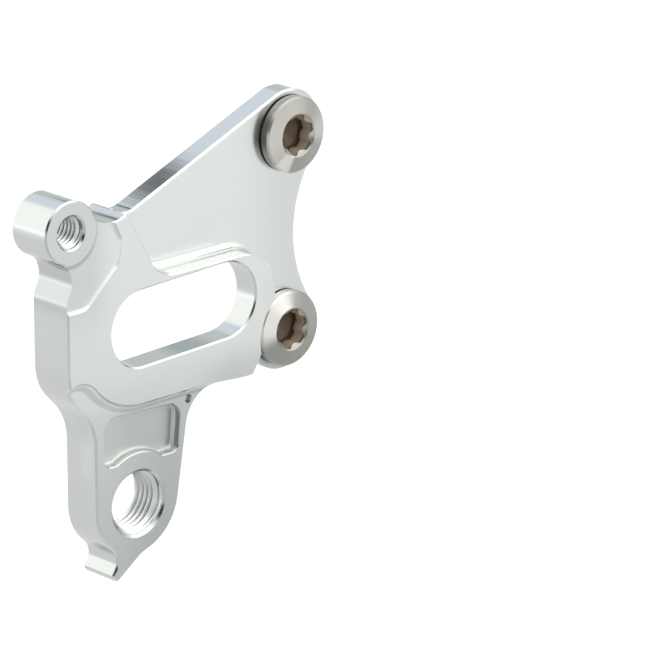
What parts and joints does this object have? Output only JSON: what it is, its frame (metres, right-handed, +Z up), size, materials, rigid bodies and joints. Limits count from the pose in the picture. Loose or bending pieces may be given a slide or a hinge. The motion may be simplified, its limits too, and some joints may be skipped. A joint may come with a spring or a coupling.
{
  "type": "bicycle derailleur hanger",
  "caption": "Milled bolt-on bicycle dropout plate with a long axle slot, a threaded derailleur hanger with a stop lip, a threaded eyelet boss and its frame bolts.",
  "frame": {"origin": "centre of the derailleur thread at the hanger's outer face", "axes": "+X forward along the bicycle, +Z up, -Y outwards along the derailleur thread, away from the wheel"},
  "size_m": [0.0592, 0.0116, 0.0695],
  "materials": {
    "satin_aluminium": "fine milled and satin anodised, natural silver",
    "stainless_steel": "turned stainless, warm grey"
  },
  "bodies": {
    "root": {"hanger_dropout": "satin_aluminium", "frame_bolts": "stainless_steel"}
  },
  "joints": []
}
